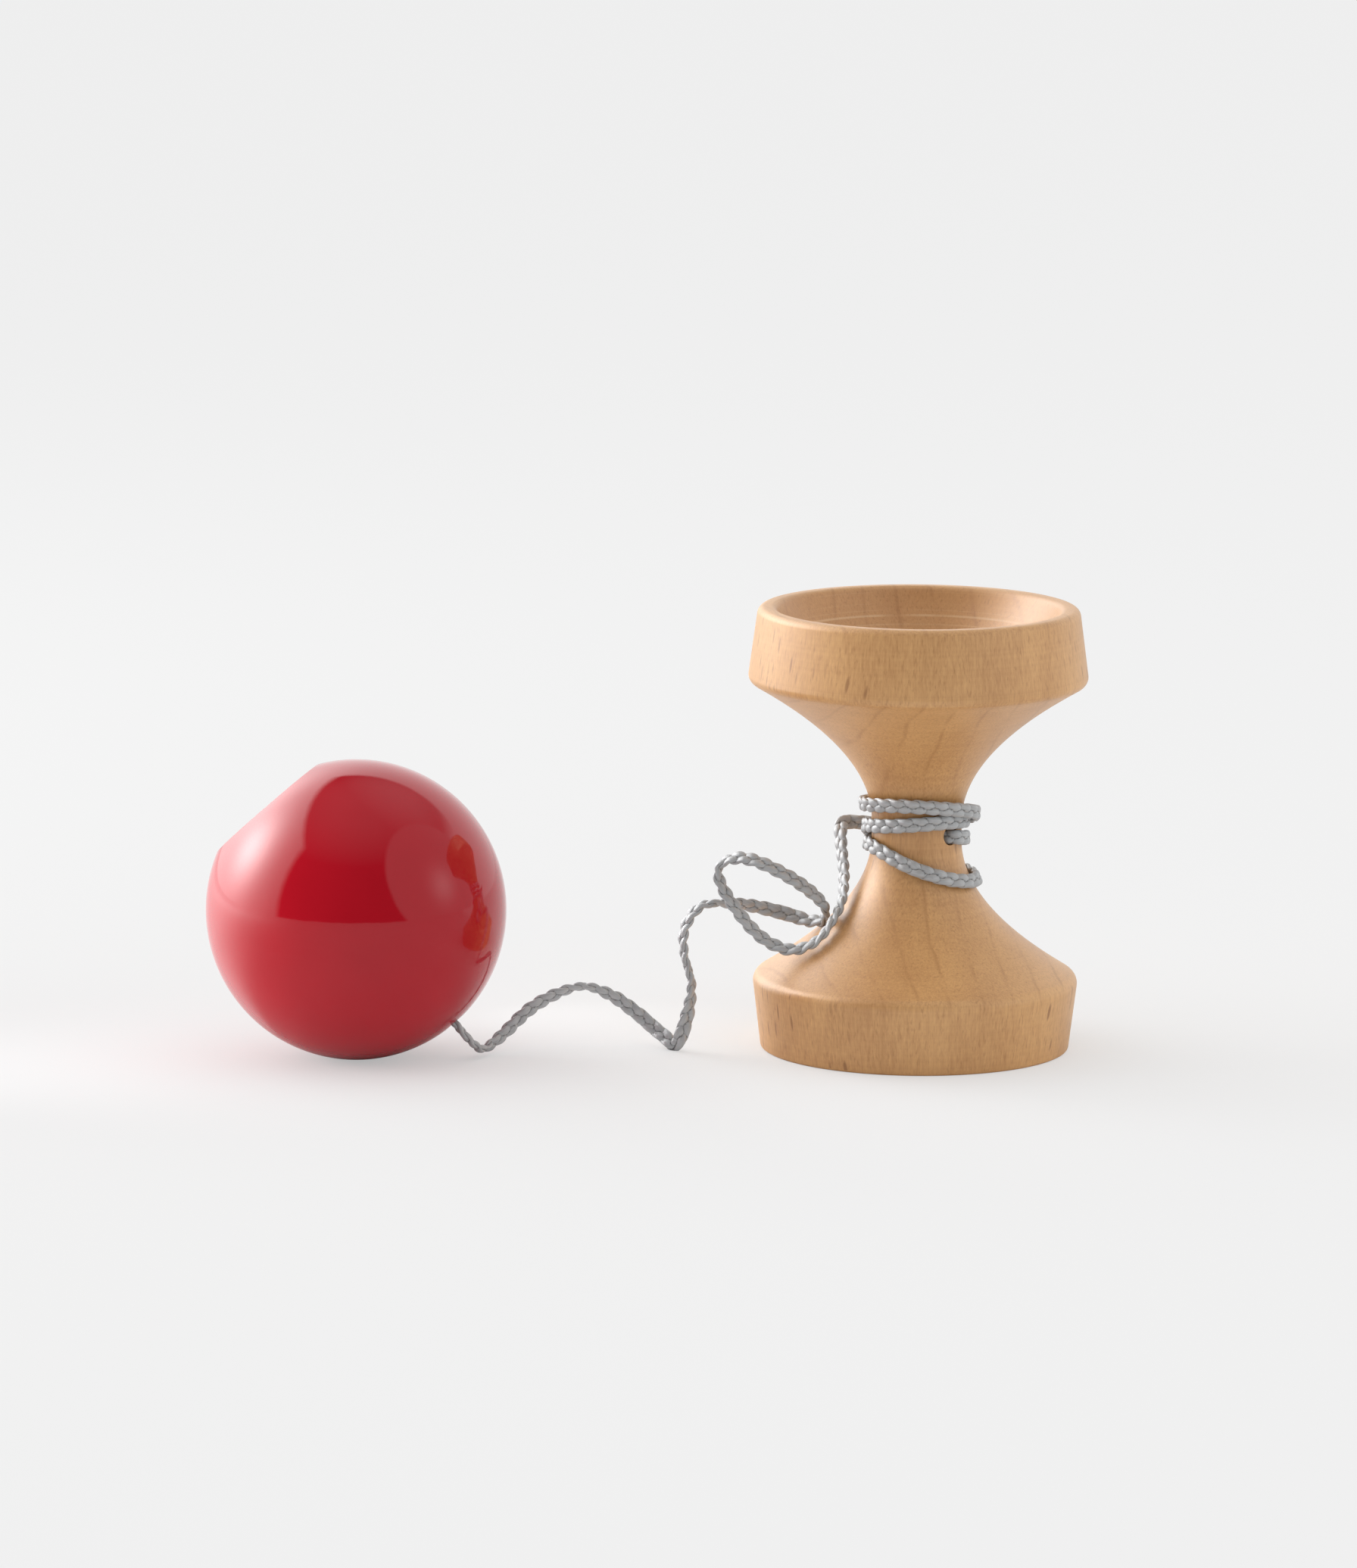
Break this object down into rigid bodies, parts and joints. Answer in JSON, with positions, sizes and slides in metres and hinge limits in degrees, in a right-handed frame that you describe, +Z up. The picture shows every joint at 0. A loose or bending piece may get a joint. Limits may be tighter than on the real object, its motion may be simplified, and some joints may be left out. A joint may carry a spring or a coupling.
{
  "type": "cup and ball toy",
  "caption": "Turned wooden cup on a waisted foot with a lacquered ball tied to it by a flat plaited cord that is wound round the waist.",
  "frame": {"origin": "middle of the cup's foot on the table", "axes": "+Z up along the cup's turned axis, -X from the cup towards the ball, -Y towards the viewer"},
  "size_m": [0.176, 0.0795, 0.0895],
  "materials": {
    "beech": "fine-sanded, satin oil, grain upright",
    "red_lacquer": "glossy deep red lacquer over a turned wooden ball",
    "plaited_cord": "flat three-strand plait of grey synthetic yarn, soft sheen"
  },
  "bodies": {
    "cup": {"cup_body": "beech", "cord_winding": "plaited_cord"},
    "tether": {"cord_free": "plaited_cord", "cord_knot": "plaited_cord"},
    "ball_body": {"ball": "red_lacquer"}
  },
  "joints": [
    {"name": "ball_swing", "type": "hinge", "parent": "cup", "child": "tether", "pos_m": [-0.01235, 0.011, 0.0452], "axis": [0, 1, 0], "range_deg": [0, 70]},
    {"name": "ball_spin", "type": "hinge", "parent": "tether", "child": "ball_body", "pos_m": [-0.112, -0.0155, 0.03], "axis": [-0.6606, 0.1284, 0.7396], "continuous": true}
  ]
}
